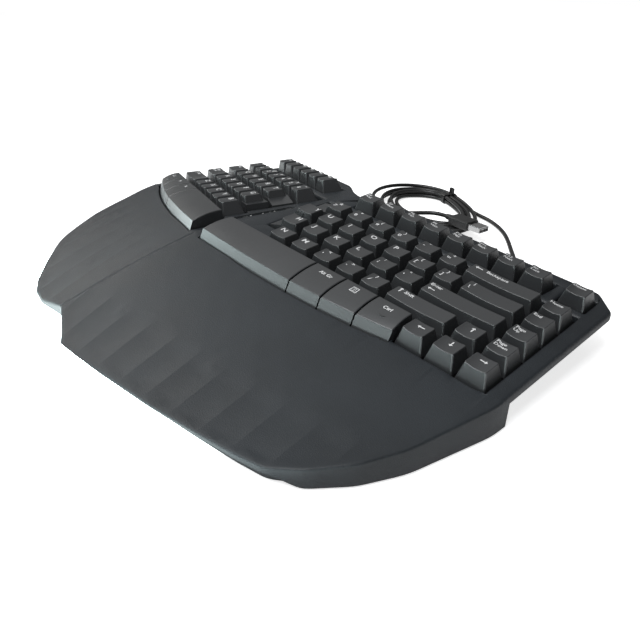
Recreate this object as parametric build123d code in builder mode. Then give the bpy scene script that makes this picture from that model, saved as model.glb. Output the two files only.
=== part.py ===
from build123d import *
import os
from math import atan2, ceil, degrees, pi, radians, sqrt, tan

os.makedirs("parts", exist_ok=True)

# Overall reaches, measured from the split line and from the front of the key block
left_reach = 173.0
right_reach = 221.0
front_reach = 134.0
back_reach = 151.0
split_x = (left_reach - right_reach) / 2
mid_y = (front_reach - back_reach) / 2

# Lie of the key planes: one half is the mirror of the other
key_pitch = 19.05
split_angle = 12.22
tent_angle = 6.81
slope_angle = 4.0
key_in = 29.35
key_front = 2.09
key_rise = 49.05

# Keycaps
cap_height = 11.5
cap_gap = 1.5
cap_wall = 1.2
cap_corner = 0.9
crown_corner = 1.3
crown_side = 3.3
crown_front = 2.7
crown_back = 4.6
crown_round = 0.45
dish_depth = 0.9
ceiling_depth = 2.7
travel = 3.5
stem_radius = 2.7
guide_radius = 1.6
guide_inset = 9.5
wide_key = 38.0

# Low flanks on the keys beside the split, as shares of a key's pitch and of its height
flank_wide_share = 0.65
flank_middle_share = 0.40
flank_narrow_share = 0.15
flank_left_middle_share = 0.25
flank_left_wide_share = 0.50
flank_high_share = 0.20
flank_step_share = 0.45
flank_low_share = 0.74

# Thumb row
thumb_back = 3.0
thumb_reach = 28.0
thumb_shrink_out = 6.9
thumb_shrink_in = 2.6
thumb_bulge_out = 45.0
thumb_end_out = 127.0
thumb_start_in = 38.0
thumb_crown_front = 3.4
thumb_crown_fall = 3.5
thumb_crown_middle = 0.6
thumb_foot = 1.2
thumb_gap = 1.0
thumb_round = 0.7
facing_up_share = 0.77
thumb_land = 8.0
thumb_stem_front = 13.5
space_stem_in = 40.0
space_guide = 26.0

# Function row
function_front = 85.6

# Guide frame, domes, contact sheet and back plate under each half
slide_clearance = 0.3
seat_gap = 0.3
frame_thickness = 1.3
frame_rim = 1.5
chimney_wall = 1.3
chimney_rise = 4.4
dome_height = 3.5
dome_tip_radius = 1.8
dome_foot_radius = 2.8
dome_wall = 0.5
dome_sheet_thickness = 0.6
contact_sheet_thickness = 0.4
back_plate_thickness = 0.7
module_centre = 11.0
module_side = 4.9
module_front = 0.95
module_back = 3.45

# Case shells
deck_drop = 9.0
case_foot = 1.2
top_wall = 2.4
palm_wall = 2.2
floor_thickness = 2.0
tub_wall = 1.8
tub_inset = 3.2
shell_clearance = 0.3
band_height = 4.6
ledge_thickness = 2.0
ledge_reach = 9.0
well_margin = 0.3
well_wall = 1.5
well_back = 4.3
well_thumb = 0.5
well_land = 6.9
well_round = 1.2
wing_end = 30.0
wing_round = 8.0
undercut_side_share = 0.9
undercut_back_share = 0.5
lip_height = 5.0
rib_thickness = 2.0
rib_in = 45.0
rib_pitch = 50.0
rib_margin = 4.0

# Palm surface
palm_crease = 33.0
palm_crease_sweep = 57.0
palm_front_sweep = 50.0
rim_height = 5.0
corner_rim = 11.0
skirt_foot = 3.0
skirt_rise_share = 0.0165
skirt_end_share = 0.585
sweep_power = 1.3
sag_share = 0.25

# Window for the status lights
window_length = 48.0
window_width = 5.6
window_thickness = 1.2
window_sink = 0.3
window_out = 9.0
window_middle = 22.3
window_turn = 6.0
light_radius = 1.1
light_pitch = 9.0

# Controller board under the ridge
board_length = 62.0
board_width = 15.0
board_thickness = 1.6
board_out = 3.0
board_height = 30.0
chip_size = 9.0
chip_thickness = 1.4
lamp_size = 2.0
lamp_height = 0.8
post_radius = 3.0
post_spacing = 46.0

# Screws and feet
boss_radius = 3.4
screw_radius = 1.3
screw_pass = 0.2
screw_head_radius = 2.6
screw_head_height = 1.6
screw_socket = 0.8
screw_length = 9.0
screw_land = 1.0
ridge_seat = 22.0
pad_radius = 4.4
pad_height = 3.0
foot_radius = 7.0
foot_sink = 0.8
foot_clearance = 0.1

# Cord, its relief, hank, tie and plug
cord_radius = 1.7
cord_lift = 0.85
relief_out = 96.0
relief_height = 17.0
relief_length = 22.0
relief_shoulder = 3.0
relief_seat = 5.0
relief_root_radius = 4.0
relief_tip_radius = 2.4
relief_collar_radius = 5.4
relief_collar = 1.5
relief_fit = 0.1
hank_out = -50.0
hank_back = 229.0
hank_turn = -14.5
hank_half_length = 62.0
hank_start = 20.0
hank_far = 33.0
hank_near = 52.0
hank_left = -5.0
hank_right = -8.0
hank_waist = -25.0
hank_far_step = 4.8
hank_near_step = 9.0
hank_end_step = 7.0
hank_quarters = 22
hank_climb_start = 9
layer_step = 4.0
cord_run_share = 0.45
straight_limit = 0.000001
tail_end = 46.0
tail_side = -14.0
tail_slope = 0.35
plug_level = 13.0
tie_width = 5.0
tie_thickness = 0.6
tie_clearance = 0.2
tie_tail = 6.0
plug_length = 20.0
plug_width = 15.0
plug_height = 7.6
plug_round = 2.0
plug_neck_length = 8.0
plug_neck_radius = 2.9
plug_neck_tip_radius = 2.3
facing_end_share = 0.55
shell_length = 12.0
shell_width = 12.0
shell_height = 4.5
shell_wall = 0.5
tongue_height = 1.8

# Levels below the key tops
frame_top = cap_height + travel + seat_gap
frame_bottom = frame_top + frame_thickness
dome_tip = frame_bottom + seat_gap
dome_sheet_top = dome_tip + dome_height
dome_sheet_bottom = dome_sheet_top + dome_sheet_thickness
contact_bottom = dome_sheet_bottom + contact_sheet_thickness
module_bottom = contact_bottom + back_plate_thickness
band_drop = deck_drop + band_height
reach = left_reach + right_reach


# Key planes
def key_direction(vector):
    tented = vector.rotate(Axis.Y, tent_angle)
    return tented.rotate(Axis.Z, split_angle).rotate(Axis.X, slope_angle)


across = key_direction(Vector(1, 0, 0))
along = key_direction(Vector(0, 1, 0))
normal = key_direction(Vector(0, 0, 1))
right_plane = Plane(
    origin=(split_x + key_in, mid_y - key_front, key_rise), x_dir=across, z_dir=normal
)
left_plane = Plane(
    origin=(split_x - key_in, mid_y - key_front, key_rise),
    x_dir=(across.X, -across.Y, -across.Z),
    z_dir=(-normal.X, normal.Y, normal.Z),
)
halves = {"left": (left_plane, -1), "right": (right_plane, 1)}


def deck_height(out, back, drop=deck_drop):
    """Height of the plane that lies drop under the key tops of a half, at out from the split."""
    slope_out = normal.X * (out - key_in)
    slope_back = normal.Y * (back + key_front)
    return key_rise - (drop + slope_out + slope_back) / normal.Z


def palm_height(out, back):
    """Height of the palm rest, tangent-free at its crease with the deck and steeper in front."""
    share = abs(out) / right_reach
    crease = -palm_crease + palm_crease_sweep * share**sweep_power
    front = -front_reach + palm_front_sweep * share**sweep_power
    top = deck_height(out, crease)
    rim = rim_height + (corner_rim - rim_height) * share**2
    down = (crease - back) / (crease - front)
    bend = sag_share * down**2 if down > 0 else 0
    return top - (top - rim) * ((1 - sag_share) * down + bend)


# Outlines in plan: shares of the side reach and of the front or back reach, and of the big radius
outline_radius = 60.0
right_shares = [
    (0.0, -0.918, 0.05), (0.10, -0.963, 0.15), (0.165, -1.0, 0.2), (0.344, -0.93, 1.0),
    (0.545, -0.852, 1.0), (0.69, -0.785, 1.0), (0.80, -0.73, 1.0), (0.875, -0.685, 0.3),
    (0.93, -0.585, 0.5), (0.975, -0.44, 0.6), (1.0, -0.26, 1.0), (1.0, 0.12, 1.0),
    (0.885, 0.925, 0.12), (0.807, 1.0, 0.12), (0.15, 0.775, 0.4), (0.065, 0.704, 0.15),
    (0.0, 0.6655, 0.05),
]
left_shares = [
    (0.0, 0.6655, 0.05), (0.083, 0.704, 0.15), (0.191, 0.775, 0.4), (0.751, 0.925, 0.12),
    (0.845, 0.8515, 0.12), (1.007, 0.06, 0.4), (0.955, -0.06, 0.8), (0.885, -0.187, 1.0),
    (0.769, -0.448, 1.0), (0.613, -0.70, 1.0), (0.45, -0.83, 1.0), (0.312, -0.925, 0.5),
    (0.226, -0.96, 0.3), (0.13, -0.965, 0.15), (0.0, -0.918, 0.05),
]


def plan_point(x_share, y_share, side):
    reach = right_reach if side > 0 else left_reach
    depth = front_reach if y_share < 0 else back_reach
    return (split_x + side * x_share * reach, mid_y + y_share * depth)


plan_points = [plan_point(x, y, 1) for x, y, _ in right_shares]
plan_points += [plan_point(x, y, -1) for x, y, _ in left_shares[1:-1]]
plan_radii = [share * outline_radius for _, _, share in right_shares]
plan_radii += [share * outline_radius for _, _, share in left_shares[1:-1]]

with BuildSketch() as plan:
    with BuildLine():
        FilletPolyline(*plan_points, radius=plan_radii, close=True)
    make_face()


def plan_inset(inset):
    with BuildSketch() as smaller:
        add(plan.sketch)
        offset(amount=-inset, kind=Kind.INTERSECTION)
    return smaller.sketch


# Tools that cut the deck and the palm rest out of a block
def deck_tool(side, drop):
    """Everything above the plane that lies drop under the key tops of one half."""
    plane = halves[side][0]
    with BuildPart() as tool:
        with BuildSketch(plane.offset(-drop)):
            Rectangle(2 * reach, 2 * reach)
        extrude(amount=reach)
    return tool.part


palm_station_shares = [-0.06, 0.06, 0.18, 0.34, 0.50, 0.66, 0.82, 0.98, 1.14]
palm_back_shares = [-1.15, -0.9, -0.62, -0.36, -0.12, 0.1, 0.3]


def palm_tool(sign, drop):
    """Everything above the palm surface of one half, lowered by drop."""
    with BuildPart() as tool:
        for share in palm_station_shares:
            out = share * right_reach
            backs = [front_reach * back for back in palm_back_shares]
            points = [(mid_y + b, palm_height(out, b) - drop) for b in backs]
            with BuildSketch(Plane.YZ.offset(split_x + sign * out)):
                with BuildLine():
                    Spline(*points)
                    Line(points[-1], (points[-1][0], right_reach))
                    Line((points[-1][0], right_reach), (points[0][0], right_reach))
                    Line((points[0][0], right_reach), points[0])
                make_face()
        loft()
    return tool.part


def half_box(sign, start_y):
    """One half of the space around the keyboard, behind start_y."""
    with BuildPart() as box:
        with BuildSketch(Plane.XY.offset(-reach)):
            with Locations((split_x + sign * reach / 2, mid_y + start_y + reach / 2)):
                Rectangle(reach, reach)
        extrude(amount=2 * reach)
    return box.part


def past_split(sign, land):
    """Everything beyond a line that lies land from the split, on the side away from one half."""
    with BuildPart() as block:
        with BuildSketch(Plane.XY.offset(-reach)):
            with Locations((split_x + sign * (land - reach / 2), 0)):
                Rectangle(reach, 2 * reach)
        extrude(amount=2 * reach)
    return block.part


def undercut_tool(side, wall, start_y):
    """Everything outside the sloping planes below the band of one half, set in by wall."""
    sign = halves[side][1]
    corners = plan_points[11:15] if sign > 0 else plan_points[18:22]
    shares = [undercut_side_share, undercut_back_share, undercut_back_share]
    if sign < 0:
        shares.reverse()
    with BuildPart() as tool:
        for start, end, share in zip(corners, corners[1:], shares):
            a, b = [
                Vector(x, y, deck_height(sign * (x - split_x), y - mid_y, band_drop))
                for x, y in (start, end)
            ]
            edge = (b - a).normalized()
            outward = Vector(b.Y - a.Y, a.X - b.X, 0).normalized()
            lean = edge.cross(outward * -share - Vector(0, 0, 1)).normalized()
            lean = lean if lean.dot(outward) > 0 else -lean
            inset = tub_inset + wall * sqrt(1 + share**2)
            with BuildSketch(Plane(origin=a - outward * inset, x_dir=edge, z_dir=lean)):
                Rectangle(2 * reach, 2 * reach)
            extrude(amount=reach)
    with BuildPart() as bounded:
        add(tool.part)
        add(half_box(sign, start_y), mode=Mode.INTERSECT)
    return bounded.part


def across_plane(plane, back):
    """Plane square to a key plane and to its columns: its own axes are across and up."""
    origin = plane.from_local_coords(Vector(0, back, 0))
    return Plane(origin=origin, x_dir=plane.x_dir, z_dir=-plane.y_dir)


def end_plane(plane, out):
    """Plane square to the rows of keys: its own axes are backwards and up."""
    origin = plane.from_local_coords(Vector(out, 0, 0))
    return Plane(origin=origin, x_dir=plane.y_dir, z_dir=plane.x_dir)


# Keycaps, drawn with the front left corner of their cell at the origin and their tops at zero
def cap_insets(drop):
    """How far a cap stands back from its cell at a depth: at its sides, its front and its back."""
    share = 1 - drop / cap_height
    rim = cap_gap / 2
    return [rim + (inset - rim) * share for inset in (crown_side, crown_front, crown_back)]


def cap_body(width, wall, top):
    """The tapered form of a cap, set in by wall and ending at the depth top."""
    with BuildPart() as body:
        for drop, corner in ((cap_height, cap_corner), (top, crown_corner)):
            sides, fore, aft = cap_insets(drop)
            with BuildSketch(Plane.XY.offset(-drop)):
                with Locations((width / 2, (key_pitch + fore - aft) / 2)):
                    RectangleRounded(
                        width - 2 * (sides + wall), key_pitch - fore - aft - 2 * wall, corner - wall / 2
                    )
        loft(ruled=True)
    return body.part


def guide_places(width):
    """Where the stem and the guide pins of a key stand across its width."""
    if width < wide_key:
        return [width / 2], []
    return [width / 2], [guide_inset, width - guide_inset]


def keycap(width):
    """A hollow keycap with a dished crown, its stem and, where wide, two guide pins."""
    half_crown = width / 2 - crown_side
    dish_radius = (half_crown**2 + dish_depth**2) / (2 * dish_depth)
    stems, guides = guide_places(width)
    with BuildPart() as cap:
        add(cap_body(width, 0, 0))
        with BuildSketch(across_plane(Plane.XY, 0)):
            with Locations((width / 2, dish_radius - dish_depth)):
                Circle(dish_radius)
        extrude(amount=-key_pitch, mode=Mode.SUBTRACT)
        crown = cap.faces().filter_by(GeomType.CYLINDER).sort_by(SortBy.AREA)[-1]
        fillet(crown.edges(), radius=crown_round)
        add(cap_body(width, cap_wall, ceiling_depth), mode=Mode.SUBTRACT)
        with BuildSketch(Plane.XY.offset(-ceiling_depth)):
            for places, radius in ((stems, stem_radius), (guides, guide_radius)):
                for place in places:
                    with Locations((place, key_pitch / 2)):
                        Circle(radius)
        extrude(amount=ceiling_depth - frame_bottom)
    return cap.part


caps = {}
key_cells = {"left": [], "right": []}
stem_spots = {"left": [], "right": []}
guide_spots = {"left": [], "right": []}


def key_flank(sign, start, end, front, flank):
    """The low shelf on the side of a key that faces the split, in the axes of the key plane."""
    spread, high, low = flank
    width = (end - start) * key_pitch
    edge = start * key_pitch if sign > 0 else end * key_pitch
    outer = edge - sign * (spread * key_pitch - cap_gap / 2)
    root = edge + sign * crown_side
    middle = (start + end) / 2 * key_pitch
    with BuildPart() as shelf:
        with BuildSketch(across_plane(Plane.XY, front + cap_gap)):
            with BuildLine():
                Polyline(
                    (middle, -cap_height),
                    (middle, -high * cap_height),
                    (root, -high * cap_height),
                    (outer, -low * cap_height),
                    (outer, -cap_height),
                    close=True,
                )
            make_face()
        extrude(amount=-(key_pitch - 2 * cap_gap))
        with Locations((start * key_pitch, front)):
            add(cap_body(width, cap_wall / 2, 0), mode=Mode.SUBTRACT)
    return shelf.part


def key_group(name, side, cells):
    """One node of keys: each cell gives its start, its end, its front and its flank, if any."""
    plane, sign = halves[side]
    with BuildPart(plane) as group:
        for start, end, front, flank in cells:
            width = round((end - start) * key_pitch, 4)
            if width not in caps:
                caps[width] = keycap(width)
            with Locations((start * key_pitch, front)):
                add(caps[width])
            spread = key_pitch * flank[0] if flank else 0
            if flank:
                add(key_flank(sign, start, end, front, flank))
            stems, guides = guide_places(width)
            start, end = start * key_pitch, end * key_pitch
            middle = front + key_pitch / 2
            stem_spots[side] += [(start + place, middle) for place in stems]
            guide_spots[side] += [(start + place, middle) for place in guides]
            cell = (start - spread, end) if sign > 0 else (start, end + spread)
            key_cells[side].append((*cell, front))
    group.part.label = name
    export_step(group.part, f"parts/{name}.step")


# Letters, each a key of its own: the half, the letters of a row, its start and its front
row_shares = {"number": 3, "upper": 2, "home": 1, "lower": 0, "bottom": -1}
row_shares["function"] = function_front / key_pitch
letter_shares = [
    ("left", "qwert", -5.5, "upper"), ("left", "asdfg", -5.25, "home"),
    ("left", "zxcvb", -4.75, "lower"), ("right", "yuiop", -0.5, "upper"),
    ("right", "hjkl", -0.25, "home"), ("right", "nm", 0.25, "lower"),
]
flank_shares = {
    "g": (flank_left_middle_share, flank_step_share, flank_step_share),
    "t": (flank_left_wide_share, flank_step_share, flank_low_share),
    "h": (flank_middle_share, flank_step_share, flank_low_share),
    "y": (flank_narrow_share, flank_high_share, flank_low_share),
    "number_keys_right": (flank_wide_share, flank_step_share, flank_low_share),
}
for side, letters, first_start, row in letter_shares:
    for place, letter in enumerate(letters):
        start = first_start + place
        front = row_shares[row] * key_pitch
        key_group(f"key_{letter}", side, [(start, start + 1, front, flank_shares.get(letter))])

# Wide keys with a node of their own, then the banks of keys that share one
bank_shares = {
    "enter_key": ("right", [(5.75, 8.67, "home")]),
    "backspace_key": ("right", [(6, 8.67, "number")]),
    "right_shift_key": ("right", [(5.25, 7.66, "lower")]),
    "left_shift_key": ("left", [(-7, -4.75, "lower")]),
    "number_keys_right": ("right", [(place, place + 1, "number") for place in range(6)]),
    "number_keys_left": ("left", [(place, place + 1, "number") for place in range(-7, 0)]),
    "function_keys_right": ("right", [(place + 0.25, place + 1.25, "function") for place in range(8)]),
    "function_keys_left": ("left", [(place, place + 1, "function") for place in range(-7, -1)]),
    "tab_and_caps_keys": ("left", [(-7, -5.5, "upper"), (-7, -5.25, "home")]),
    "punctuation_keys": ("right", [
        (4.5, 5.5, "upper"), (5.5, 6.5, "upper"), (6.5, 8.67, "upper"), (3.75, 4.75, "home"),
        (4.75, 5.75, "home"), (2.25, 3.25, "lower"), (3.25, 4.25, "lower"), (4.25, 5.25, "lower"),
    ]),
    "navigation_keys": ("right", [
        (8.67, 9.67, row) for row in ("function", "number", "upper", "home", "lower")
    ]),
    "arrow_keys": ("right", [
        (6.64, 7.65, "bottom"), (7.65, 8.66, "bottom"), (8.66, 9.67, "bottom"), (7.66, 8.67, "lower"),
    ]),
}
for name, (side, cells) in bank_shares.items():
    placed = []
    for start, end, row in cells:
        flank = flank_shares.get(name) if start == 0 else None
        placed.append((start, end, row_shares[row] * key_pitch, flank))
    key_group(name, side, placed)


# Thumb keys: a domed crown over a steep front face, following one long curve
def thumb_reach_at(out):
    """How far the thumb row stands in front of the rows behind it, at out from the inner key."""
    if out > thumb_bulge_out:
        share = (out - thumb_bulge_out) / (thumb_end_out - thumb_bulge_out)
        return thumb_reach - thumb_shrink_out * share**2
    share = (thumb_bulge_out - out) / (thumb_bulge_out + thumb_start_in)
    return thumb_reach - thumb_shrink_in * share**2


def thumb_body(side, start, end, wall):
    """The form of a thumb key from start to end, set in by wall on its front, back and top."""
    plane, sign = halves[side]
    with BuildPart() as body:
        for station in range(4):
            out = start + (end - start) * station / 3
            foot = thumb_reach_at(out * sign) + thumb_foot - wall
            crown = foot - thumb_crown_front
            back = cap_gap / 2 + wall
            shoulder = thumb_back + wall
            with BuildSketch(end_plane(plane, out)):
                with BuildLine():
                    Polyline((-crown, -thumb_crown_fall - wall), (-foot, -cap_height),
                             (-back, -cap_height), (-shoulder, -wall))
                    ThreePointArc(
                        (-shoulder, -wall),
                        (-(shoulder + crown) / 2, -thumb_crown_middle - wall),
                        (-crown, -thumb_crown_fall - wall),
                    )
                make_face()
        loft()
    return body.part


def thumb_key(side, start, end, at_split, stems, guides):
    """A hollow thumb key: the space keys stop at the split, the others at their gaps."""
    plane, sign = halves[side]
    with BuildPart() as key:
        add(thumb_body(side, start, end, 0))
        if at_split:
            add(past_split(sign, thumb_land), mode=Mode.SUBTRACT)
        crown = key.faces().filter_by(lambda face: face.normal_at().dot(plane.z_dir) > facing_up_share)
        fillet(crown.edges(), radius=thumb_round)
        add(thumb_cavity(side, start, end, at_split), mode=Mode.SUBTRACT)
        with BuildSketch(plane.offset(-frame_bottom)):
            for spots, radius in ((stems, stem_radius), (guides, guide_radius)):
                for spot in spots:
                    with Locations(spot):
                        Circle(radius)
        extrude(amount=frame_bottom - thumb_crown_middle - cap_wall / 2)
    return key.part


def thumb_cavity(side, start, end, at_split):
    sign = halves[side][1]
    with BuildPart() as cavity:
        add(thumb_body(side, start + cap_wall, end - cap_wall, cap_wall))
        if at_split:
            add(past_split(sign, thumb_land + cap_wall), mode=Mode.SUBTRACT)
    return cavity.part


thumb_shares = {
    "right_space_key": ("right", [(-2.0, 2.89)]),
    "right_modifier_keys": ("right", [(2.89, 4.14), (4.14, 5.39), (5.39, 6.64)]),
    "left_space_key": ("left", [(-3.0, 2.0)]),
    "left_modifier_keys": ("left", [(-7.0, -5.5), (-5.5, -4.25), (-4.25, -3.0)]),
}
thumb_outer = {"left": 0, "right": 0}
for name, (side, cells) in thumb_shares.items():
    sign = halves[side][1]
    at_split = len(cells) == 1
    with BuildPart() as group:
        for start, end in cells:
            start, end = start * key_pitch, end * key_pitch
            middle = (start + end) / 2
            guides = []
            if at_split:
                middle = (end if sign > 0 else start) - sign * space_stem_in
                guides = [(middle + way * space_guide, -thumb_stem_front) for way in (-1, 1)]
            stems = [(middle, -thumb_stem_front)]
            add(thumb_key(side, start + thumb_gap / 2, end - thumb_gap / 2, at_split, stems, guides))
            stem_spots[side] += stems
            guide_spots[side] += guides
            thumb_outer[side] = sign * max(sign * thumb_outer[side], sign * start, sign * end)
    group.part.label = name
    export_step(group.part, f"parts/{name}.step")


# Wells that the keys stand in
def row_spans(side):
    """The runs of neighbouring keys on one half: the front, start and end of each."""
    spans = []
    for start, end, front in sorted(key_cells[side], key=lambda cell: (cell[2], cell[0])):
        if spans and spans[-1][0] == front and start - spans[-1][2] < cap_gap:
            spans[-1][2] = end
        else:
            spans.append([front, start, end])
    return spans


def well_edge(spans, index, way, spread):
    """The stepped side of the well past the starts or the ends of its rows."""
    points = [(spans[0][index] + way * spread, spans[0][0] - spread)]
    for span in spans[1:]:
        place, last = span[index] + way * spread, points[-1][0]
        if way * (place - last) > cap_gap:
            points += [(last, span[0] - spread), (place, span[0] - spread)]
        elif way * (last - place) > cap_gap:
            points += [(last, span[0] + spread), (place, span[0] + spread)]
    return points


def well_solid(side, spread, floor):
    """The wells of one half, spread beyond their edges, from the depth floor up."""
    plane, sign = halves[side]
    main = [span for span in row_spans(side) if span[0] < function_front]
    back = row_shares["number"] * key_pitch + key_pitch + well_back - well_margin + spread
    starts = well_edge(main, 1, -1, spread)
    ends = well_edge(main, 2, 1, spread)
    outline = [*starts, (starts[-1][0], back), (ends[-1][0], back), *reversed(ends)]
    margin = thumb_foot + well_thumb + spread - well_margin
    inner, outer = -sign * thumb_start_in, thumb_outer[side] + sign * spread
    thumb_front = []
    for station in range(5):
        out = inner + (outer - inner) * station / 4
        thumb_front.append((out, -thumb_reach_at(out * sign) - margin))
    with BuildPart() as thumb:
        with BuildSketch(plane.offset(-floor)):
            with BuildLine():
                Spline(*thumb_front)
                Polyline(thumb_front[-1], (outer, spread), (inner, spread), thumb_front[0])
            make_face()
        extrude(amount=2 * floor)
        add(past_split(sign, well_land - spread + well_margin), mode=Mode.SUBTRACT)
    with BuildPart() as wells:
        with BuildSketch(plane.offset(-floor)):
            with BuildLine():
                FilletPolyline(*outline, radius=well_round, close=True)
            make_face()
            for front, start, end in row_spans(side):
                if front == function_front:
                    with Locations(((start + end) / 2, front + key_pitch / 2)):
                        RectangleRounded(end - start + 2 * spread, key_pitch + 2 * spread, well_round)
        extrude(amount=2 * floor)
        add(thumb.part)
    return wells.part


# Guide frame, domes, contact sheet and back plate under each half
def module_plate(side, top, bottom, rim):
    """A flat sheet under one half between two depths, set in by rim, short of the split."""
    plane, sign = halves[side]
    start = min(span[1] for span in row_spans(side)) if sign < 0 else -thumb_start_in
    end = max(span[2] for span in row_spans(side)) if sign > 0 else thumb_start_in
    start, end = (start + module_side, end) if sign < 0 else (start, end - module_side)
    front, back = -key_pitch - module_front, function_front + key_pitch - module_back
    with BuildPart() as sheet:
        with BuildSketch(plane.offset(-bottom)):
            with Locations(((start + end) / 2, (front + back) / 2)):
                Rectangle(end - start - 2 * rim, back - front - 2 * rim)
        extrude(amount=bottom - top)
        add(past_split(sign, module_centre + rim), mode=Mode.SUBTRACT)
    return sheet.part


for side, (plane, _) in halves.items():
    bore = stem_radius + slide_clearance
    with BuildPart() as key_frame:
        add(module_plate(side, frame_top, dome_sheet_top, 0))
        add(module_plate(side, frame_bottom, dome_sheet_top, frame_rim), mode=Mode.SUBTRACT)
        with BuildSketch(plane.offset(-frame_bottom)):
            with Locations(*stem_spots[side]):
                Circle(bore + chimney_wall)
        extrude(amount=frame_thickness + chimney_rise)
        with BuildSketch(plane.offset(-frame_bottom)):
            with Locations(*stem_spots[side]):
                Circle(bore)
            with Locations(*guide_spots[side]):
                Circle(guide_radius + slide_clearance)
        extrude(amount=frame_thickness + chimney_rise, mode=Mode.SUBTRACT)
    key_frame.part.label = f"key_frame_{side}"
    export_step(key_frame.part, f"parts/key_frame_{side}.step")

    dome_taper = degrees(atan2(dome_foot_radius - dome_tip_radius, dome_height))
    with BuildPart() as dome_sheet:
        add(module_plate(side, dome_sheet_top, dome_sheet_bottom, 0))
        with BuildSketch(plane.offset(-dome_sheet_top)):
            with Locations(*stem_spots[side]):
                Circle(dome_foot_radius)
        extrude(amount=dome_height, taper=dome_taper)
        with BuildSketch(plane.offset(-dome_sheet_bottom)):
            with Locations(*stem_spots[side]):
                Circle(dome_foot_radius - dome_wall)
        extrude(amount=dome_height, taper=dome_taper, mode=Mode.SUBTRACT)
    dome_sheet.part.label = f"dome_sheet_{side}"
    export_step(dome_sheet.part, f"parts/dome_sheet_{side}.step")

with BuildPart() as contact_sheets:
    for side in halves:
        add(module_plate(side, dome_sheet_bottom, contact_bottom, 0))
contact_sheets.part.label = "contact_sheets"
export_step(contact_sheets.part, "parts/contact_sheets.step")

with BuildPart() as back_plates:
    for side in halves:
        add(module_plate(side, contact_bottom, module_bottom, 0))
back_plates.part.label = "back_plates"
export_step(back_plates.part, "parts/back_plates.step")


# Case shells
def case_block(inset, foot, drop, palm_drop):
    """The space inside the outline set in by inset, from foot up to the lowered deck and palm."""
    with BuildPart() as block:
        with BuildSketch(Plane.XY.offset(foot)):
            add(plan_inset(inset))
        extrude(amount=reach)
        for side, (_, sign) in halves.items():
            add(deck_tool(side, drop), mode=Mode.SUBTRACT)
            add(palm_tool(sign, palm_drop), mode=Mode.SUBTRACT)
    return block.part


def spots_of(shares):
    """Places in plan from shares of the reach to the right and of the reach to the front or back."""
    return [plan_point(x, y, 1) for x, y in shares]


screw_spot_shares = [
    (-0.18, -0.71), (-0.45, -0.46), (-0.60, -0.15), (0.18, -0.71), (0.54, -0.56), (0.84, -0.34),
]
ridge_spot_shares = [(0.0, -0.15), (0.0, 0.583)]
screw_spots = [(*spot, case_foot + pad_height) for spot in spots_of(screw_spot_shares)]
screw_spots += [(*spot, ridge_seat) for spot in spots_of(ridge_spot_shares)]
foot_shares = [
    (-0.18, -0.83), (0.52, -0.74), (0.88, -0.38), (-0.60, -0.28), (0.68, 0.55), (-0.48, 0.5),
]
foot_spots = spots_of(foot_shares)
window_centre = (split_x - window_out, mid_y + window_middle)
window_turned = Vector(0, 1, 0).rotate(Axis.Z, -window_turn)
window_side = window_turned.cross(left_plane.z_dir)
window_plane = Plane(
    origin=(*window_centre, deck_height(window_out, window_middle)),
    x_dir=left_plane.z_dir.cross(window_side),
    z_dir=left_plane.z_dir,
)
board_centre = (split_x - board_out, mid_y + window_middle)
board_spots = [(board_centre[0], board_centre[1] + way * post_spacing / 2) for way in (-1, 1)]
pipe_length = (window_plane.origin.Z - board_height) / left_plane.z_dir.Z
lamp_spots = []
for turn in (-1, 0, 1):
    lamp = window_plane.from_local_coords(Vector(turn * light_pitch, 0, -pipe_length))
    lamp_spots.append((lamp.X, lamp.Y))
back_corner, back_end = plan_points[13], plan_points[14]
back_run = (Vector(*back_corner) - Vector(*back_end)).normalized()
back_outward = Vector(-back_run.Y, back_run.X, 0)
relief_edge = back_end[1] + (split_x + relief_out - back_end[0]) * back_run.Y / back_run.X
relief_rise = deck_height(relief_out, relief_edge - mid_y, band_drop) - relief_height
relief_inset = tub_inset + undercut_back_share * relief_rise
relief_plane = Plane(
    origin=Vector(split_x + relief_out, relief_edge, relief_height) - back_outward * relief_inset,
    x_dir=(0, 0, 1),
    z_dir=back_outward,
)
relief_side = Plane(
    origin=relief_plane.origin, x_dir=back_run, z_dir=back_run.cross(back_outward)
)

outer_block = case_block(0, case_foot, deck_drop, 0)
with BuildPart() as well_tubes:
    for side in halves:
        add(well_solid(side, well_margin + well_wall, frame_top))
    add(outer_block, mode=Mode.INTERSECT)

with BuildPart() as bosses:
    for x, y, seat in screw_spots:
        with BuildSketch(Plane.XY.offset(seat)):
            with Locations((x, y)):
                Circle(boss_radius)
        extrude(amount=reach)
    add(outer_block, mode=Mode.INTERSECT)


def below_band(side, drop):
    """The space below the plane that lies drop under the keys of one half, behind the wing."""
    with BuildPart() as space:
        add(half_box(halves[side][1], wing_end))
        add(deck_tool(side, drop), mode=Mode.SUBTRACT)
    return space.part


def band_ledge(sign):
    """The ledge inside the rim of one half, behind the wing, that carries the deck's band."""
    with BuildPart() as ledge:
        with BuildSketch(Plane.XY.offset(case_foot)):
            add(plan.sketch)
            add(plan_inset(ledge_reach), mode=Mode.SUBTRACT)
        extrude(amount=reach)
        for side in halves:
            add(deck_tool(side, band_drop - ledge_thickness), mode=Mode.SUBTRACT)
        add(half_box(sign, wing_end), mode=Mode.INTERSECT)
    return ledge.part


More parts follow.
